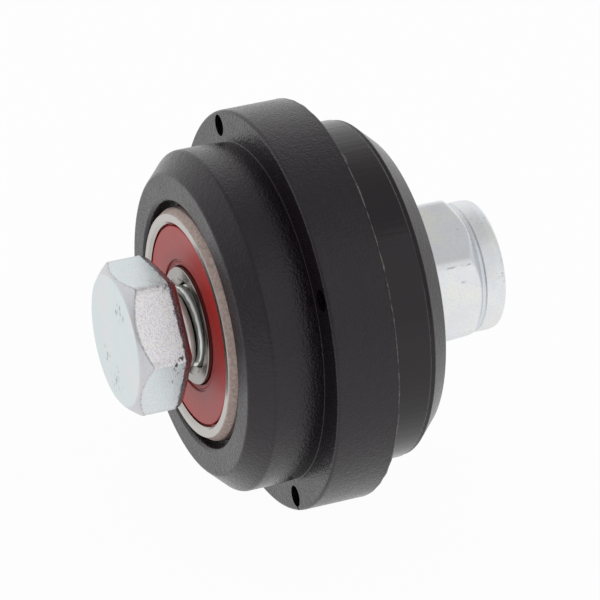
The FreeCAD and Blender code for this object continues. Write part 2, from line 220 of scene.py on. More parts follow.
# %% [markdown]
# ## The wheel
# The wheel is moulded in black plastic in a two-part mould. A narrow rib in the middle runs between the
# plates of the chain, and each end is coned and bored for a bearing, with a narrow gap round the
# bearing at the mouth. Plastic shrinks as it cools, so the near hub sinks a little beside the rib.
# Where the mould's halves meet, a thin fin stands out along the rib's far edge, longer here and shorter
# there, and a low step runs round the far end of the hub. A Screw modifier could spin a section, but
# then it would be the same all round. Here it is one closed profile that may change a little with the
# angle, and carrying it round gives a skin with no seam.

# %% Turn the wheel's section
TREAD, RIM, HUB, HALF_RIB, HALF_BODY = 18.985, 19.0, 16.13, 3.0, 9.8
END_FACE, BEARING_SEAT, SHOULDER, SINK = 14.25, 11.0, 3.15, 0.14
seat_side = [
    (HALF_BODY, 11.95, 0.3), (9.62, 11.7, 0.3), (9.3, 11.62, 0.2), (8.3, 11.6, 0.04), (8.3, 11.12, 0.04),
    (8.2, BEARING_SEAT, 0.03), (SHOULDER, BEARING_SEAT, 0.1), (SHOULDER, 9.6, 0.15),
]
near_side = [
    (HALF_BODY, END_FACE, 0.4), (7.85, HUB, 0.5), (4.7, HUB, 18.0), (HALF_RIB, HUB - SINK, 0.06),
    (HALF_RIB, TREAD, 0.28),
]
fin_side = [(2.82, TREAD, 0.05), (2.92, RIM, 0.03), (HALF_RIB, 18.97, 0.03), (HALF_RIB, 18.9, 0.02)]
far_side = [
    (HALF_RIB, 18.8, 0.03), (HALF_RIB, HUB, 0.28), (7.38, HUB, 0.06), (7.62, HUB - 0.16, 0.05),
    (7.9, HUB - 0.09, 0.08), (HALF_BODY, END_FACE, 0.4),
]
mirror = np.array([-1, 1, 1])
near_half = np.array(seat_side[::-1] + near_side) * mirror
wheel_angles = even_angles(340)
wheel_section = np.concatenate([near_half, fin_side, far_side, seat_side])
wheel_corners = np.repeat(wheel_section[None], len(wheel_angles), axis=0)
print("wheel section:", len(wheel_section), "corners")

# %% [markdown]
# The fin's length wanders round the rim, because a worn mould closes better in some places than in
# others. A sum of a few sines with scattered phases does that, and it meets itself after a full turn.
# At one place a longer tongue of plastic has squeezed out, which is a narrow bell curve in the angle.

# %% The mould fin
FIN_MIDDLE, FIN_SWING, FIN_LEAST, FIN_MOST = 0.05, 0.06, 0.005, 0.12
TONGUE, TONGUE_AT, TONGUE_WIDTH = 0.14, np.radians(70), np.radians(1.3)
FIN_SEED = 3


def waver(angles, waves, seed):
    """An uneven line round the axis, about -1 to 1: a sum of sines in whole waves, phases scattered."""
    scatter = np.random.RandomState(seed)
    phase = scatter.uniform(0, 2 * np.pi, len(waves))
    weight = scatter.uniform(0.4, 1.0, len(waves))
    return (weight * np.sin(np.multiply.outer(angles, waves) + phase)).sum(-1) / np.sqrt(len(waves))


fin_length = FIN_MIDDLE + FIN_SWING * waver(wheel_angles, np.arange(2, 60, 5), FIN_SEED)
fin_length = np.clip(fin_length, FIN_LEAST, FIN_MOST)
fin_length += TONGUE * np.exp(-(((wheel_angles - TONGUE_AT) / TONGUE_WIDTH) ** 2))
fin_tip = len(near_half) + 2
wheel_corners[:, fin_tip : fin_tip + 2, 0] += fin_length[:, None]
wheel = grid_piece("ribbed_wheel", turned(rounded(wheel_corners), wheel_angles))
print("wheel:", len(wheel.data.vertices), "points")
print(f"fin on the rib: {fin_length.min():.2f} to {fin_length.max():.2f} mm")

# %% [markdown]
# Four small core holes go right through the rib. A hole can't be drawn on a grid of rings without
# bending the grid round it, so round pins are subtracted with a Boolean modifier, and its result is
# kept as the mesh. The lowest hole has broken through to the rim in a hair-thin slit, so a thin blade
# is subtracted there too.

# %% Drill the rib
HOLE_CIRCLE, HOLE_RADIUS, DRILL_REACH = 17.6, 1.02, 4.0
HALF_SLIT, SLIT_INSIDE, SLIT_OUTSIDE, SLIT_END = 0.13, 18.3, 19.6, -2.6
hole_angles = np.radians([30, 120, 210, 300])
pin_corners = [
    (-DRILL_REACH, 0, 0), (-DRILL_REACH, HOLE_RADIUS, 0.05),
    (DRILL_REACH, HOLE_RADIUS, 0.05), (DRILL_REACH, 0, 0),
]
pin = turned(rounded(pin_corners, closed=False), even_angles(40))
centres = round_axis(0.0, HOLE_CIRCLE, hole_angles)
drills = [grid_piece("drill", pin + centre, ring_of_rows=False) for centre in centres]
slit_across = np.array([-HALF_SLIT, -HALF_SLIT, HALF_SLIT, HALF_SLIT])
slit_out = np.array([SLIT_INSIDE, SLIT_OUTSIDE, SLIT_OUTSIDE, SLIT_INSIDE])
slit_along = np.array([[-DRILL_REACH], [SLIT_END]])
slit = round_axis(slit_along, slit_out, hole_angles[3] + slit_across / RIM)
drills.append(grid_piece("blade", slit, ring_of_rows=False))
for drill in drills:
    drilling = wheel.modifiers.new("drilling", "BOOLEAN")
    drilling.object = drill
    drilling.solver = "EXACT"
bpy.context.view_layer.update()
drilled = wheel.evaluated_get(bpy.context.evaluated_depsgraph_get())
wheel.data = bpy.data.meshes.new_from_object(drilled)
wheel.modifiers.clear()
for drill in drills:
    bpy.data.objects.remove(drill)
settle(wheel, "roller", "wheel_plastic", "roller_body")

# %% [markdown]
# ## The bearings
# Each bearing is the common 8 x 22 x 7 mm size: two hardened rings with ball grooves, balls in a nylon
# cage, and a red rubber seal pressed into each face. The rings are ground on their faces, with broken
# edges. A ring is the same on both of its faces, so half of its section is drawn, up to the ball
# groove, and then mirrored. Only the seals that face out of the wheel are made anew.

# %% Sections of the rings and the seal
BEARING_MIDDLE, HALF_WIDTH, PITCH_RADIUS, GROOVE = 6.65, 3.5, 7.5, 2.0345
OUTER_LAND, INNER_LAND, GROOVE_CORNERS = 8.8, 6.05, 5


def grooved(half, land, outward):
    """A half section, a ball groove, and the half again, mirrored.

    The groove is a circle round the ball's centre: along = groove sin(angle), radius = pitch radius plus or
    minus groove cos(angle), between the two angles where it meets the land.
    """
    edge = np.arccos((land - PITCH_RADIUS) * outward / GROOVE)
    angle = np.linspace(edge, -edge, GROOVE_CORNERS)
    radius = PITCH_RADIUS + outward * GROOVE * np.cos(angle)
    groove = np.stack([GROOVE * np.sin(angle), radius, np.full(GROOVE_CORNERS, 0.05)], axis=-1)
    return np.concatenate([half, groove, np.array(half[::-1]) * mirror])


outer_half = [
    (2.75, BEARING_SEAT, 0.1), (HALF_WIDTH, 10.52, 0.1), (HALF_WIDTH, 9.85, 0.06), (3.25, 9.6, 0.06),
    (2.95, 9.6, 0.04), (2.7, 9.9, 0.04), (2.3, 9.9, 0.04), (2.3, OUTER_LAND, 0.04),
]
inner_half = [
    (2.95, 4.0, 0.08), (HALF_WIDTH, 4.6, 0.12), (HALF_WIDTH, 5.46, 0.04), (3.41, 5.55, 0.04),
    (2.3, 5.55, 0.05), (2.3, INNER_LAND, 0.05),
]
outer_section = grooved(outer_half, OUTER_LAND, 1)
inner_section = grooved(inner_half, INNER_LAND, -1)
seal_section = np.array([
    (2.3, 9.9, 0.03), (2.7, 9.9, 0.05), (2.8, 9.6, 0.05), (2.8, 9.4, 0.08), (3.25, 9.4, 0.16),
    (3.25, 7.2, 0.5), (3.22, 6.25, 0.14), (3.02, 6.2, 0.05), (3.02, 6.04, 0.04), (3.16, 5.9, 0.06),
    (3.06, 5.64, 0.05), (2.7, 5.64, 0.03), (2.55, 6.2, 0.1), (2.55, 8.8, 0.05), (2.3, 9.0, 0.03),
])
for name, section in (("outer ring", outer_section), ("inner ring", inner_section), ("seal", seal_section)):
    print(name, "section:", len(section), "corners")

# %% [markdown]
# The same three sections serve both bearings. In the front bearing the distance along the axis changes
# its sign, so that its seal looks out of the wheel as the rear one's does. That turns the grid inside
# out, and the normals are put right when the mesh is made. The outer rings and seals turn with the
# wheel, the inner rings stay still.

# %% Turn the rings and seals on both sides
SIDES = {"front": -1, "rear": 1}
ring_angles = even_angles(240)
for side, outward in SIDES.items():
    for name, section, body, slot in (
        ("outer_ring", outer_section, "roller", "bearing_steel"),
        ("inner_ring", inner_section, "axle", "bearing_steel"),
        ("outer_seal", seal_section, "roller", "seal_rubber"),
    ):
        placed = section * [outward, 1, 1] + [outward * BEARING_MIDDLE, 0, 0]
        piece = grid_piece(f"{side}_{name}_turned", turned(rounded(placed), ring_angles))
        settle(piece, body, slot, f"{side}_{name}")

# %% [markdown]
# ## The bolt
# The bolt is a cold-forged M8 hexagon bolt, zinc plated, threaded up to its head. The head is a hexagon
# cut by a cone at the top, which leaves the curved edges that every bolt head has, and its underside
# edge is bevelled and a bit torn where it was trimmed. A hexagon isn't turned, but it can still be a
# profile that changes with the angle: the cone is the same all round, and only the radius of the flats
# grows towards the corners.

# %% Hexagon radius by angle
ACROSS_FLATS, HEAD_ROUNDING = 12.8, 0.6
HALF_SIDE = np.radians(30)


def hexagon_angles(first_corner, steps=24):
    """Angles round a hexagon that crowd towards its corners: a side's middle plus half a side x sine."""
    middles = np.radians(first_corner + 30 + 60 * np.arange(6))[:, None]
    swing = HALF_SIDE * np.sin(np.pi / 2 * np.linspace(-1, 1, steps, endpoint=False))
    return (middles + swing).ravel()


def hexagon_radius(angles, first_corner, rounding):
    """Radius of a hexagon: flat / cos(angle from the flat's middle), or a rounded corner's circle."""
    from_middle = (angles - np.radians(first_corner)) % np.radians(60) - HALF_SIDE
    flat = ACROSS_FLATS / 2 / np.cos(from_middle)
    from_corner = HALF_SIDE - np.abs(from_middle)
    centre = (ACROSS_FLATS / 2 - rounding) / np.cos(HALF_SIDE)
    under_root = np.maximum(rounding**2 - (centre * np.sin(from_corner)) ** 2, 0)
    on_corner = centre * np.cos(from_corner) + np.sqrt(under_root)
    touch = np.arctan2(rounding * 0.5, centre + rounding * np.cos(HALF_SIDE))
    return np.where(from_corner < touch, on_corner, flat)


def corners_round(count, *corners):
    """Corners of (along, radius, rounding) at a count of angles; a part may differ from angle to angle."""
    spread = [[np.broadcast_to(part, count) for part in corner] for corner in corners]
    return np.moveaxis(np.array(spread, float), -1, 0)


print("corner radius of the hexagon:", hexagon_radius(np.zeros(1), 0, HEAD_ROUNDING).round(3)[0], "mm")

# %% [markdown]
# The thread is a ridge that climbs one pitch in each turn. With the angle as one parameter and the
# distance along the bolt as the other, its height depends only on along / pitch + angle / turn, so one
# line of arithmetic on the whole grid winds the ridge round the bolt. The plus sign makes it
# right-handed.

# %% The thread's ridge
HEAD_TOP, HEAD_SEAT, TIP, PITCH_LENGTH = -17.15, -12.15, 17.65, 1.25
CREST, ROOT, CREST_DIAMETER = 3.9, 3.2, 2.0
FLANK_SLOPE, HALF_FOOT, THREAD_START = 3.3, 0.6, 0.12
TIP_RADIUS, ROWS_PER_PITCH = 3.25, 20
HEAD_TURN = 5.5
head_angles = hexagon_angles(HEAD_TURN)


def thread_radius(along, angles):
    """A ridge in the fraction along / pitch + angle / turn.

    Its rolled crest falls by the distance squared over a diameter, and straight flanks run to the root.
    """
    turns = along / PITCH_LENGTH + angles / (2 * np.pi) - THREAD_START
    from_crest = PITCH_LENGTH * np.abs((turns + 0.5) % 1 - 0.5)
    crest = CREST - from_crest**2 / CREST_DIAMETER
    return np.maximum(ROOT, np.minimum(crest, ROOT + FLANK_SLOPE * (HALF_FOOT - from_crest)))


thread_rows = np.arange(HEAD_SEAT + 0.22, TIP, PITCH_LENGTH / ROWS_PER_PITCH)
thread_along, thread_angle = np.meshgrid(thread_rows, head_angles)
ridge = np.minimum(thread_radius(thread_along, thread_angle), TIP_RADIUS + (TIP - thread_along))
print(f"thread: {(TIP - HEAD_SEAT) / PITCH_LENGTH:.1f} turns, {2 * ridge.max():.2f} mm over its crests")

# %% [markdown]
# The head's profile goes from the middle of its top over the cone, down the flat, round the torn bevel
# and in under the head to the thread. The cone reaches further down where the hexagon is wider, so its
# drop follows the radius of the flats. The corners were trimmed harder than the flats, so the bevel is
# deeper there.

# %% Head and thread in one skin
CROWN, CROWN_SLOPE = 6.15, 0.86
TORN_DEPTH, TORN_SEED = 0.05, 4
flat_radius = hexagon_radius(head_angles, HEAD_TURN, HEAD_ROUNDING)
crown_end = HEAD_TOP + CROWN_SLOPE * (flat_radius - CROWN)
torn = TORN_DEPTH * waver(head_angles, np.arange(9, 90, 6), TORN_SEED)
at_corner = (flat_radius - ACROSS_FLATS / 2) / 0.9
bevel_start = HEAD_SEAT - 0.75 - 0.12 * at_corner + 0.8 * torn
bevel_middle = HEAD_SEAT - 0.38 - 0.08 * at_corner + 0.4 * torn
bevel_radius = flat_radius - 0.08 - 0.05 * at_corner + 0.3 * torn
seat_radius = flat_radius - 0.42 - 0.15 * at_corner
head_corners = corners_round(
    len(head_angles),
    (HEAD_TOP, 0, 0),
    (HEAD_TOP, CROWN, 0.25),
    (crown_end, flat_radius, 0.12),
    (bevel_start, flat_radius, 0.08),
    (bevel_middle, bevel_radius, 0.05),
    (HEAD_SEAT, seat_radius, 0.05),
    (HEAD_SEAT, 4.1, 0.15),
    (HEAD_SEAT + 0.2, 3.6, 0),
)
head_rows = rounded(head_corners, closed=False)
tip_rows = corners_round(len(head_angles), (TIP, ROOT, 0), (TIP, 0, 0))[..., :2]
bolt_rows = np.concatenate([head_rows, np.stack([thread_along, ridge], axis=-1), tip_rows], axis=1)
bolt = grid_piece("head_and_thread", turned(bolt_rows, head_angles), ring_of_rows=False)
settle(bolt, "axle", "bolt_zinc", "hex_bolt")

# %% [markdown]
# ## The lock nut
# The nut is a hexagon with a round collar, deeply chamfered towards the collar and only just broken at
# its seat. A nylon ring sits in the collar and the collar's edge is rolled over it, so the nylon grips
# the thread. The section is one closed profile for every angle: out along the near face, over the
# flats, round the neck and collar, in over the rolled edge, and back through the bore.

# %% Nut and nylon ring
NUT_SEAT, NUT_HEX, NUT_END, NUT_TURN = 12.2, 5.0, 19.75, 34.5
NUT_CROWN, NUT_CROWN_SLOPE, NUT_ROUNDING = 6.2, 0.966, 1.0
POCKET_START, POCKET_END, POCKET_RADIUS = 17.55, 19.45, 5.3
nut_angles = hexagon_angles(NUT_TURN)
nut_flat = hexagon_radius(nut_angles, NUT_TURN, NUT_ROUNDING)
nut_drop = NUT_CROWN_SLOPE * (nut_flat - NUT_CROWN)
nut_face = np.minimum(nut_flat - 0.04, 6.85)
nut_corners = corners_round(
    len(nut_angles),
    (NUT_SEAT, 4.35, 0.1),
    (NUT_SEAT, nut_face, 0.1),
    (NUT_SEAT + 0.83 * (nut_flat - nut_face), nut_flat, 0.1),
    (NUT_SEAT + NUT_HEX - nut_drop, nut_flat, 0.7),
    (NUT_SEAT + NUT_HEX, NUT_CROWN, 0.1),
    (NUT_SEAT + 5.1, 6.1, 0.1),
    (NUT_SEAT + 5.42, 6.08, 0.1),
    (NUT_SEAT + 5.5, 6.22, 0.1),
    (18.9, 6.25, 0.5),
    (NUT_END, 6.15, 0.62),
    (NUT_END, 5.0, 0.2),
    (NUT_END - 0.2, 4.8, 0.08),
    (POCKET_END, 4.85, 0.03),
    (POCKET_END, POCKET_RADIUS, 0.03),
    (POCKET_START, POCKET_RADIUS, 0.03),
    (POCKET_START, 4.0, 0.05),
    (NUT_SEAT + 0.35, 4.0, 0.05),
)
nut = grid_piece("collared_nut", turned(rounded(nut_corners), nut_angles))
settle(nut, "axle", "nut_zinc", "lock_nut")

insert_section = [
    (POCKET_START, 3.75, 0.15), (POCKET_START, POCKET_RADIUS, 0.05), (POCKET_END, POCKET_RADIUS, 0.05),
    (POCKET_END, 3.75, 0.35),
]
insert = grid_piece("nylon_ring", turned(rounded(insert_section), even_angles(144)))
settle(insert, "axle", "insert_nylon", "nut_insert")

# %% [markdown]
# ## Finishes as sums of amounts
# A finish is a small calculation that runs at every point of a surface: distances, bands and noise,
# added and multiplied. In the node editor that becomes a web of Math nodes. Here a node's output is
# wrapped so that Python's own + - * ** and < add those nodes, and one method makes every other kind of
# node.

# %% A socket that can stand in a sum
class Amount:
    """A node's output. Arithmetic on it adds Math nodes to the same web."""

    def __init__(self, web, socket):
        self.web, self.socket = web, socket

    def maths(self, operation, left, right):
        """A Math node on two amounts or numbers."""
        return self.web.node("ShaderNodeMath", {"operation": operation}, {0: left, 1: right})

    def __add__(self, other):
        return self.maths("ADD", self, other)

    def __radd__(self, other):
        return self.maths("ADD", other, self)

    def __sub__(self, other):
        return self.maths("SUBTRACT", self, other)

    def __rsub__(self, other):
        return self.maths("SUBTRACT", other, self)

    def __mul__(self, other):
        return self.maths("MULTIPLY", self, other)

    def __rmul__(self, other):
        return self.maths("MULTIPLY", other, self)

    def __pow__(self, other):
        return self.maths("POWER", self, other)

    def __lt__(self, other):
        return self.maths("LESS_THAN", self, other)


# %% A web of nodes
class Web:
    """The nodes of a material or of the world."""

    def __init__(self, owner):
        self.owner = owner
        owner.use_nodes = True
        self.tree = owner.node_tree
        self.tree.nodes.clear()

    def node(self, kind, settings=None, sockets=None, output=0):
        """Adds any node: its settings first, then a value or a link for each socket; returns one output."""
        made = self.tree.nodes.new(kind)
        for name, setting in (settings or {}).items():
            setattr(made, name, setting)
        for name, value in (sockets or {}).items():
            if isinstance(value, Amount):
                self.tree.links.new(value.socket, made.inputs[name])
            else:
                made.inputs[name].default_value = value
        return Amount(self, made.outputs[output]) if made.outputs else None

    def parts(self, vector):
        """The x, y and z of a vector."""
        apart = self.node("ShaderNodeSeparateXYZ", {}, {0: vector}).socket.node
        return [Amount(self, socket) for socket in apart.outputs]

    def rays(self, *kinds):
        """For each kind of ray, 1 where such a ray looks at the surface and 0 elsewhere."""
        light_path = self.node("ShaderNodeLightPath").socket.node
        return [Amount(self, light_path.outputs[f"Is {kind} Ray"]) for kind in kinds]

    def step(self, value, low, high):
        """0 below low and 1 above high, with an eased rise between; low above high turns it round."""
        settings = {"interpolation_type": "SMOOTHSTEP"}
        sockets = {"Value": value, "From Min": low, "From Max": high}
        return self.node("ShaderNodeMapRange", settings, sockets)

    def band(self, value, low, high, soft=0.05):
        """1 between low and high, easing to 0 over the given width at each side."""
        return self.step(value, low - soft, low) * self.step(value, high + soft, high)

    def mix(self, factor, first, second):
        """One colour turning into another."""
        settings = {"data_type": "RGBA"}
        return self.node("ShaderNodeMix", settings, {0: factor, 6: first, 7: second}, output=2)


# %% [markdown]
# A finish on this part mostly asks two things of a point: how far along the axis it is, and how far out
# from it. Both come from the object's own coordinates, which are the frame's, so a mask can use the
# same numbers as the shapes do. The noises keep their size in millimetres, whatever the piece.

# %% A finish on the part
class Finish(Web):
    """A material in the making. Lengths are in millimetres: along the axis, and out from it."""

    def __init__(self, name):
        super().__init__(bpy.data.materials.new(name))
        spot = self.node("ShaderNodeTexCoord", output="Object")
        self.spot = self.node("ShaderNodeVectorMath", {"operation": "SCALE"}, {0: spot, "Scale": 1 / MM})
        self.x, self.along, self.z = self.parts(self.spot)
        self.out = (self.x * self.x + self.z * self.z) ** 0.5

    def noise(self, size, detail=2.0, roughness=0.5, spot=None):
        """Smooth noise, 0 to 1, with lumps of about the given size."""
        sockets = {"Vector": spot or self.spot, "Scale": 1 / size, "Detail": detail, "Roughness": roughness}
        return self.node("ShaderNodeTexNoise", {}, sockets)

    def stretched(self, x, y, z):
        """The place on the surface with each direction scaled, for noise that runs in streaks."""
        return self.node("ShaderNodeVectorMath", {"operation": "MULTIPLY"}, {0: self.spot, 1: (x, y, z)})

    def ring_spot(self):
        """A place that is the same all round the axis, for lines left by turning and grinding."""
        return self.node("ShaderNodeCombineXYZ", {}, {"X": self.along, "Y": self.out})

    def specks(self, spacing, size, share):
        """Scattered dots: cells of the given spacing, of which a share holds a dot of about that size."""
        sockets = {"Vector": self.spot, "Scale": 1 / spacing}
        cells = self.node("ShaderNodeTexVoronoi", {}, sockets).socket.node
        chance = self.node("ShaderNodeSeparateColor", {}, {0: Amount(self, cells.outputs["Color"])})
        near = self.step(Amount(self, cells.outputs["Distance"]), size / spacing, 0.5 * size / spacing)
        return near * (chance < share)

    def near(self, place, reach):
        """1 at a place, easing to 0 at the given distance from it."""
        settings = {"operation": "DISTANCE"}
        away = self.node("ShaderNodeVectorMath", settings, {0: self.spot, 1: place}, output="Value")
        return self.step(away, reach, 0.3 * reach)

    def bump(self, height, depth):
        """A surface normal that follows a height, where a height of 1 stands the given depth proud."""
        return self.node("ShaderNodeBump", {}, {"Height": height, "Distance": depth * MM})

    def skin(self, **sockets):
        """The finished material: a Principled shader with sockets named in words, such as base_color."""
        titles = [name.replace("_", " ").title().replace("Ior", "IOR") for name in sockets]
        shader = self.node("ShaderNodeBsdfPrincipled", {}, dict(zip(titles, sockets.values())))
        self.node("ShaderNodeOutputMaterial", {}, {"Surface": shader})
        return self.owner


def paint(material, *names):
    """Gives a material to pieces or solids by name."""
    for name in names:
        slots = bpy.data.objects[name].data.materials
        slots.clear()
        slots.append(material)
    print(f"{material.name}: {len(material.node_tree.nodes)} nodes on {', '.join(names)}")


# %% [markdown]
# ## Black moulded plastic
# The wheel is black all through, with a violet cast in blotches, yet in a white studio it never looks
# flat black: it mirrors about a twenty-fifth of the light face on and far more at a slant, so the
# slanted end faces turn grey. The mould was spark-eroded, and left a fine grain that breaks the
# reflections up. The far side of the hub came from a smoother mould half, with drag marks along it, and
# the torn fin on the rib is coloured pale in patches.

# %% Wheel finish
plastic = Finish("wheel_plastic")
fine = plastic.noise(0.24, detail=3.0, roughness=0.6)
coarse = plastic.noise(0.6, detail=2.0)
cloud = plastic.noise(4.0, detail=3.0)
smooth_hub = plastic.band(plastic.along, 3.2, 7.75, 0.1) * plastic.step(plastic.out, 16.9, 16.5)
far_cone = plastic.band(plastic.along, 7.9, 9.7, 0.1) * plastic.step(plastic.out, 13.9, 14.2)
drag = plastic.noise(0.5, detail=3.0, spot=plastic.stretched(1.0, 0.07, 1.0)) * smooth_hub
on_fin = plastic.step(plastic.along, 2.9, 2.96) * plastic.step(plastic.out, 18.86, 18.92)
fin_patches = plastic.step(plastic.noise(0.7, detail=4.0, roughness=0.7), 0.38, 0.62)
# The fin is coloured pale in patches along the rib's far edge, except near the top of the rim.
pale_fin = on_fin * fin_patches * plastic.step(plastic.z, 18.2, 17.8)
dust = plastic.specks(2.6, 0.09, 0.2) * plastic.step(plastic.noise(6.0), 0.45, 0.6)
blotch = 0.5 * cloud + 0.5 * plastic.step(plastic.noise(0.8, detail=3.0), 0.3, 0.7)
black = plastic.mix(blotch, (0.0048, 0.0012, 0.0048, 1), (0.0126, 0.0058, 0.0110, 1))
deep = plastic.mix(0.85 * smooth_hub, black, (0.0050, 0.0008, 0.0035, 1))
with_pale_fin = plastic.mix(pale_fin, deep, (0.17, 0.15, 0.135, 1))
dusty = plastic.mix(dust, with_pale_fin, (0.4, 0.39, 0.38, 1))
grain = (fine * 0.65 + coarse * 0.35) * (1 - 0.85 * smooth_hub - 0.5 * far_cone)
uneven = 0.2 * (fine - 0.5) + 0.14 * (cloud - 0.5) + 0.16 * (drag - 0.5 * smooth_hub)
wheel_material = plastic.skin(
    base_color=dusty,
    roughness=0.25 - 0.03 * smooth_hub + uneven,
    normal=plastic.bump(grain + 0.3 * drag, 0.088),
    ior=1.48,
)
paint(wheel_material, "ribbed_wheel")

# %% [markdown]
# ## Ground bearing steel
# Bearing rings are hardened and ground. The faces come out bright and even, the inner ring's a little
# darker and smoother, while the outside and its broken edge keep a duller, spotted brown tone and fine
# lines round the axis. Metal has almost no colour of its own apart from its reflections, so roughness
# does most of the work, with the lines as a very shallow bump.

# %% Ring finish
steel = Finish("bearing_steel")
lines = steel.noise(0.05, detail=2.0, spot=steel.ring_spot())
stain = steel.noise(1.3, detail=4.0, roughness=0.6)
outside = steel.step(steel.out, 10.5, 10.62)
inner = steel.step(steel.out, 6.4, 6.2)
face = steel.mix(stain, (0.51, 0.49, 0.46, 1), (0.44, 0.42, 0.395, 1))
polished_face = steel.mix(stain, (0.33, 0.31, 0.29, 1), (0.27, 0.255, 0.24, 1))
spotted = steel.step(steel.noise(0.3, detail=4.0, roughness=0.65), 0.3, 0.7)
dull = steel.mix(spotted, (0.66, 0.51, 0.465, 1), (0.40, 0.30, 0.26, 1))
ring_material = steel.skin(
    base_color=steel.mix(outside, steel.mix(inner, face, polished_face), dull),
    metallic=1.0 - 0.9 * outside,
    roughness=0.22 + 0.26 * outside - 0.06 * inner + 0.06 * (stain - 0.5),
    normal=steel.bump(lines + 0.4 * stain, 0.004),
)
paint(ring_material, *[f"{side}_{ring}_ring_turned" for side in SIDES for ring in ("outer", "inner")])

# %% [markdown]
# ## Red seal rubber
# The seals are brick-red rubber moulded on a steel disc. Rubber is soft to light: the colour is nearly
# even with a faint mottle, the gloss is low, and a few pale specks of dust cling to it.

# %% Seal finish
rubber = Finish("seal_rubber")
mottle = rubber.noise(0.9, detail=4.0, roughness=0.6)
pores = rubber.noise(0.12, detail=2.0)
lint = rubber.specks(1.5, 0.08, 0.12)
brick = rubber.mix(mottle, (0.48, 0.014, 0.012, 1), (0.58, 0.021, 0.017, 1))
seal_material = rubber.skin(
    base_color=rubber.mix(lint, brick, (0.55, 0.25, 0.2, 1)),
    roughness=0.33 + 0.1 * mottle,
    normal=rubber.bump(pores + mottle, 0.012),
)
paint(seal_material, *[f"{side}_{seal}" for side in SIDES for seal in ("outer_seal_turned", "inner_seal")])

# %% [markdown]
# ## Zinc plate
# Bright zinc is bluish white with a hint of yellow and pink where the passivation is thicker. The
# head's top is smooth from the forging die, with short dark pits, the flats are grainy where the
# plating grew on rough steel, and the torn bevel under the head is painted dark for the shade on it.
# One finish covers all of it, so the masks overlap as the real places do, and the plain plate comes first.

# %% Bolt finish
zinc = Finish("bolt_zinc")
tone = zinc.noise(2.4, detail=3.0)
tint = zinc.noise(2.0, detail=2.0)
crystals = zinc.noise(0.13, detail=3.0, roughness=0.65)
bluish = zinc.mix(tone, (0.65, 0.74, 0.765, 1), (0.735, 0.78, 0.775, 1))
warm = zinc.mix(zinc.step(tint, 0.4, 0.8), bluish, (0.735, 0.745, 0.765, 1))
print("plate, plain:", len(zinc.tree.nodes), "nodes")

# %% [markdown]
# The distance below the head's cone tells the parts of the head from each other: it is zero on the cone
# itself and grows down the flats. One flat, the one that looks to the right and up, is rougher than the
# rest and shimmers in lilac and cream.

# %% Flats, chamfer and their edges
ROUGH_X, ROUGH_Z = 0.814, 0.581
below_cone = zinc.along - HEAD_TOP - CROWN_SLOPE * (zinc.out - CROWN)
on_sides = zinc.step(zinc.out, 6.0, 6.2) * zinc.step(zinc.along, -12.8, -13.0)
flats = zinc.step(below_cone, 0.06, 0.25) * on_sides
chamfer = zinc.band(below_cone, -0.06, 0.06, 0.05) * zinc.step(zinc.out, 6.1, 6.3)
rough_flat = flats * zinc.step(ROUGH_X * zinc.x + ROUGH_Z * zinc.z, 6.2, 6.35)
broken = zinc.step(zinc.noise(0.3, detail=4.0, roughness=0.65), 0.3, 0.7)
edge = zinc.band(below_cone, 0.05, 0.13, 0.07) * zinc.step(zinc.out, 6.25, 6.4)
ridges = flats * zinc.step(zinc.out, 7.08, 7.22)
fresh = zinc.mix(0.3 * flats, warm, (0.79, 0.865, 0.88, 1))
shimmer = zinc.step(zinc.noise(0.35, detail=3.0), 0.35, 0.65)
iridescent = zinc.mix(shimmer, (1.0, 0.98, 0.955, 1), (0.97, 0.945, 1.0, 1))
lilac = zinc.mix(0.9 * rough_flat, fresh, iridescent)
dark_grains = flats * zinc.step(crystals, 0.45, 0.65) * (0.33 + 0.2 * rough_flat)
grainy = zinc.mix(dark_grains, lilac, (0.50, 0.46, 0.50, 1))
banded = zinc.mix(0.6 * chamfer, grainy, (0.60, 0.575, 0.61, 1))
edged = zinc.mix(broken * edge, banded, (0.45, 0.40, 0.41, 1))
lined = zinc.mix(0.5 * broken * ridges, edged, (0.52, 0.48, 0.49, 1))
print("with flats and edges:", len(zinc.tree.nodes), "nodes")

# %% [markdown]
# Pits come in clusters, so a streaky noise gives the pits and a few places say where they may show. The
# edge under the head is ragged: noise is added to the distance along the axis before the band is taken.
# The thread is a cleaner, whiter plate, with painted shade in the roots of its ridge.

# %% Pits, torn edge and thread
DEEP_SCAR = (7.2, -13.4, 0.6), 1.2
scars = [
    ((1.3, HEAD_TOP, 3.7), 1.6), ((-2.1, HEAD_TOP, -2.4), 1.1), ((0.4, HEAD_TOP, -4.0), 2.0),
    ((2.4, -13.2, 6.4), 1.5), ((6.5, -13.1, -1.2), 1.5),
]
pits = zinc.step(zinc.noise(0.3, detail=2.0, spot=zinc.stretched(1.0, 1.0, 0.4)), 0.57, 0.65)
scarred = 2.0 * zinc.near(*DEEP_SCAR) + sum(zinc.near(place, reach) for place, reach in scars)
ragged = zinc.along + 0.7 * (zinc.noise(0.4, detail=4.0, roughness=0.7) - 0.5)
# The band is ragged in shape, and its dark colour is painted shade on the bevel under the head.
torn_bevel_and_shade = zinc.band(ragged, -12.93, -12.58, 0.12) * zinc.step(zinc.out, 5.0, 5.4)
# Painted shade: the seat under the head is coloured dark for the shade in the gap over the bearing.
painted_underside_shade = zinc.step(zinc.along, -12.2, -12.17) * zinc.step(zinc.out, 4.0, 4.3)
thread = zinc.step(zinc.along, -12.1, -12.0)
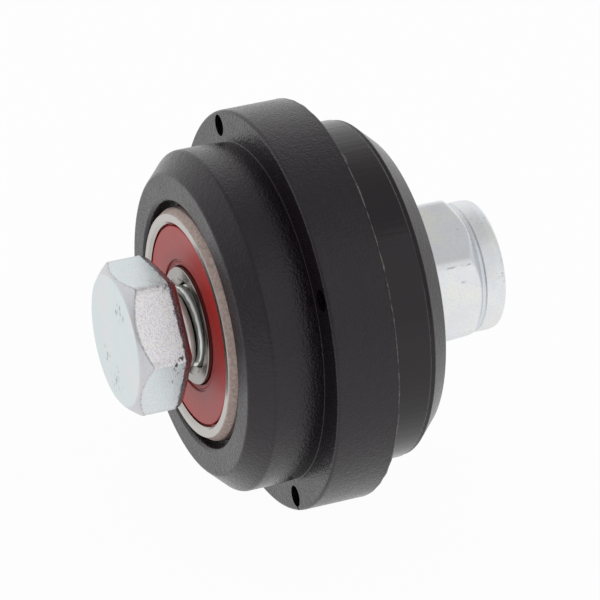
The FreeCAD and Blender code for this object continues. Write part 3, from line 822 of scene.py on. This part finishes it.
# Painted shade: the roots of the thread are coloured dark, stopping short of the tip.
painted_root_shade = thread * zinc.step(zinc.out, 3.6, 3.3) * zinc.step(zinc.along, TIP - 0.1, TIP - 0.4)
pitted = zinc.mix(0.85 * pits * scarred, lined, (0.14, 0.145, 0.15, 1))
shaded_torn_bevel = zinc.mix(torn_bevel_and_shade * (0.3 + 0.7 * zinc.step(crystals, 0.4, 0.6)), pitted, (0.17, 0.175, 0.24, 1))
with_underside_shade = zinc.mix(painted_underside_shade, shaded_torn_bevel, (0.16, 0.15, 0.15, 1))
threaded = zinc.mix(thread, with_underside_shade, (0.94, 0.975, 0.95, 1))
bolt_material = zinc.skin(
    base_color=zinc.mix(painted_root_shade, threaded, (0.03, 0.03, 0.028, 1)),
    metallic=1.0 - 0.15 * thread,
    roughness=0.3 + 0.05 * thread + 0.12 * (crystals - 0.5),
    normal=zinc.bump(crystals * (0.35 + 0.5 * flats) + tone - 1.5 * pits * scarred + 2.0 * torn_bevel_and_shade, 0.03),
)
paint(bolt_material, "head_and_thread")

# %% [markdown]
# The nut was plated in another bath. It is paler and smoother, with a fine grain and soft grey smudges
# from the barrel in which such small parts tumble.

# %% Nut finish
bright = Finish("nut_zinc")
smudge = bright.noise(1.8, detail=3.0, roughness=0.55)
sheen = bright.noise(3.0, detail=2.0)
skin_grain = bright.noise(0.2, detail=3.0)
pale = bright.mix(smudge, (0.87, 0.89, 0.92, 1), (0.78, 0.80, 0.835, 1))
tinted = bright.mix(bright.step(sheen, 0.4, 0.75), pale, (0.885, 0.88, 0.84, 1))
grained = bright.mix(0.6 * bright.step(skin_grain, 0.45, 0.7), tinted, (0.74, 0.765, 0.80, 1))
print("nut plate, plain:", len(bright.tree.nodes), "nodes")

# %% [markdown]
# The other parts in the barrel leave their marks: a few scuffs on the collar and the corners. A dark
# line, broken up by noise, runs along one flat just under its upper corner. The neck between hexagon
# and collar is painted a shade darker, for the shade that falls in its groove.

# %% Nut marks
UPPER_CORNER_X, UPPER_CORNER_Z = -0.078, 0.997
scuffs = [
    ((2.0, 18.6, 5.9), 1.2), ((5.8, 18.7, 1.9), 1.9), ((2.9, 16.1, 5.7), 0.9), ((6.3, 15.0, 2.0), 0.8),
]
# Painted shade: the groove of the neck between hexagon and collar is coloured darker.
painted_neck_shade = bright.band(bright.along, 17.32, 17.62, 0.06) * bright.step(bright.out, 6.2, 6.12)
up_flat = UPPER_CORNER_Z * bright.z + UPPER_CORNER_X * bright.x
# A dark line is painted along one flat, just under its upper corner, and broken up by noise.
dark_corner_line = bright.band(up_flat, 3.3, 3.4, 0.06) * bright.band(bright.along, 13.6, 16.3, 0.3)
broken_corner_line = dark_corner_line * bright.step(bright.noise(0.7, detail=2.0), 0.42, 0.6)
scuff = bright.step(bright.noise(0.4, detail=3.0, spot=bright.stretched(1.0, 0.5, 1.0)), 0.56, 0.66)
scuffed = sum(bright.near(place, reach) for place, reach in scuffs)
with_corner_line = bright.mix(0.55 * broken_corner_line, grained, (0.30, 0.30, 0.34, 1))
marked = bright.mix(0.45 * scuff * scuffed, with_corner_line, (0.36, 0.36, 0.42, 1))
nut_material = bright.skin(
    base_color=bright.mix(0.35 * painted_neck_shade, marked, (0.62, 0.68, 0.73, 1)),
    metallic=1.0,
    roughness=0.42 + 0.1 * (smudge - 0.5),
    normal=bright.bump(skin_grain * 0.6 + smudge, 0.016),
)
paint(nut_material, "collared_nut")

# %% [markdown]
# ## What sits out of sight
# The spacer tube, the cages and the balls only show when the part is taken to pieces, but a library
# part may be. Their solids are right as they are, so they keep their meshes and get finishes of their
# own. The cages and the nut's ring are nylon: cream where it has aged in grease, whiter in the nut,
# with faint marks of its flow.

# %% Nylon finishes
nylon = Finish("cage_nylon")
flow = nylon.noise(1.2, detail=3.0)
nylon_material = nylon.skin(
    base_color=nylon.mix(flow, (0.70, 0.67, 0.56, 1), (0.78, 0.75, 0.65, 1)),
    roughness=0.45 + 0.1 * flow,
    normal=nylon.bump(flow, 0.01),
)
paint(nylon_material, *[f"{side}_cage" for side in SIDES])

white_nylon = Finish("insert_nylon")
ripple = white_nylon.noise(0.5, detail=2.0, spot=white_nylon.ring_spot())
insert_material = white_nylon.skin(
    base_color=white_nylon.mix(ripple, (0.72, 0.72, 0.68, 1), (0.80, 0.80, 0.76, 1)),
    roughness=0.4 + 0.1 * ripple,
    normal=white_nylon.bump(ripple, 0.01),
)
paint(insert_material, "nylon_ring")

# %% [markdown]
# The balls are lapped to a mirror, so only a faint haze changes their gloss. The spacer is cut from
# turned tube, and the tool's lines run round it.

# %% Ball and spacer finishes
BALLS = 7
polished = Finish("ball_steel")
haze = polished.noise(0.6, detail=2.0)
ball_material = polished.skin(
    base_color=polished.mix(haze, (0.78, 0.78, 0.78, 1), (0.70, 0.70, 0.71, 1)),
    metallic=1.0,
    roughness=0.08 + 0.06 * haze,
)
paint(ball_material, *[f"{side}_ball_{number + 1}" for side in SIDES for number in range(BALLS)])

tube = Finish("spacer_steel")
tool_lines = tube.noise(0.12, detail=2.0, spot=tube.ring_spot())
tube_material = tube.skin(
    base_color=tube.mix(tool_lines, (0.62, 0.61, 0.60, 1), (0.50, 0.49, 0.48, 1)),
    metallic=1.0,
    roughness=0.35 + 0.15 * tool_lines,
    normal=tube.bump(tool_lines, 0.006),
)
paint(tube_material, "inner_spacer")

# %% [markdown]
# ## A white studio
# The object stands on a white table in a room of soft light. The floor is matt and takes the object's
# soft shadow. To the camera and to reflections it shows itself a bit brighter than the light on it, so
# the background is white while the shadow stays.

# %% Floor
FLOOR_REACH, FLOOR_LEVEL = 1500.0, -RIM
FLOOR_GREY, SHOWN_TO_CAMERA, SHOWN_IN_MIRRORS = 0.80, 0.965, 0.93
ends = [-FLOOR_REACH, FLOOR_REACH]
floor_points = np.stack(np.meshgrid(ends, ends, FLOOR_LEVEL), axis=-1).reshape(-1, 3) * MM
floor_mesh = bpy.data.meshes.new("floor")
floor_mesh.from_pydata(floor_points.tolist(), [], [(0, 1, 3, 2)])
floor = bpy.data.objects.new("floor", floor_mesh)
scene.collection.objects.link(floor)
paper = Web(bpy.data.materials.new("floor_white"))
to_camera, in_mirror, through_glass = paper.rays("Camera", "Glossy", "Transmission")
shown = SHOWN_TO_CAMERA * to_camera + SHOWN_IN_MIRRORS * (in_mirror + through_glass)
matt = paper.node("ShaderNodeBsdfDiffuse", {}, {"Color": (FLOOR_GREY, FLOOR_GREY, FLOOR_GREY, 1)})
glow = paper.node("ShaderNodeEmission", {}, {"Color": (1, 1, 1, 1), "Strength": 1.0})
mixed = paper.node("ShaderNodeMixShader", {}, {0: shown, 1: matt, 2: glow})
paper.node("ShaderNodeOutputMaterial", {}, {"Surface": mixed})
paint(paper.owner, "floor")

# %% [markdown]
# The left wall of the room is bright low down, the ceiling and the right side are dimmer, and one broad
# lamp stands on the right. That is what gives black plastic its shape: each face shows the part of the
# room that it mirrors. The world is asked for a direction, and its light is a sum like any finish. The
# camera itself sees plain white behind the floor.

# %% Room and lamp
ROOM_LIGHT, WALL_LIGHT = 0.56, 0.41
LAMP_PLACE, LAMP_SIZE, LAMP_POWER = np.array([430.0, 290.0, 280.0]), 640, 0.42
scene.world = bpy.data.worlds.new("studio")
room = Web(scene.world)
looking_x, _, looking_z = room.parts(room.node("ShaderNodeTexCoord", output="Generated"))
(to_camera,) = room.rays("Camera")
wall = room.step(looking_x, 0.12, -0.42) * room.step(looking_z, 0.88, 0.5)
strength = to_camera + (1 - to_camera) * (ROOM_LIGHT + WALL_LIGHT * wall)
sky = room.node("ShaderNodeBackground", {}, {"Color": (1, 1, 1, 1), "Strength": strength})
room.node("ShaderNodeOutputWorld", {}, {"Surface": sky})

lamp_data = bpy.data.lights.new("right_lamp", "AREA")
lamp_data.size = LAMP_SIZE * MM
lamp_data.energy = LAMP_POWER
lamp = bpy.data.objects.new("right_lamp", lamp_data)
scene.collection.objects.link(lamp)
lamp_back = unit(LAMP_PLACE)
lamp.matrix_world = facing(LAMP_PLACE, unit(np.cross([0, 0, 1], lamp_back)), lamp_back)
scene.view_settings.view_transform = "Standard"
print(f"room: {len(room.tree.nodes)} nodes, lamp {np.linalg.norm(LAMP_PLACE):.0f} mm away")

# %% [markdown]
# ## Bring the scene up to date
# The finished pieces have to fill the same box as the solids. Here the view layer is only brought up
# to date, so that the place of every piece is worked out.

# %% Bring the view layer up to date
bpy.context.view_layer.update()
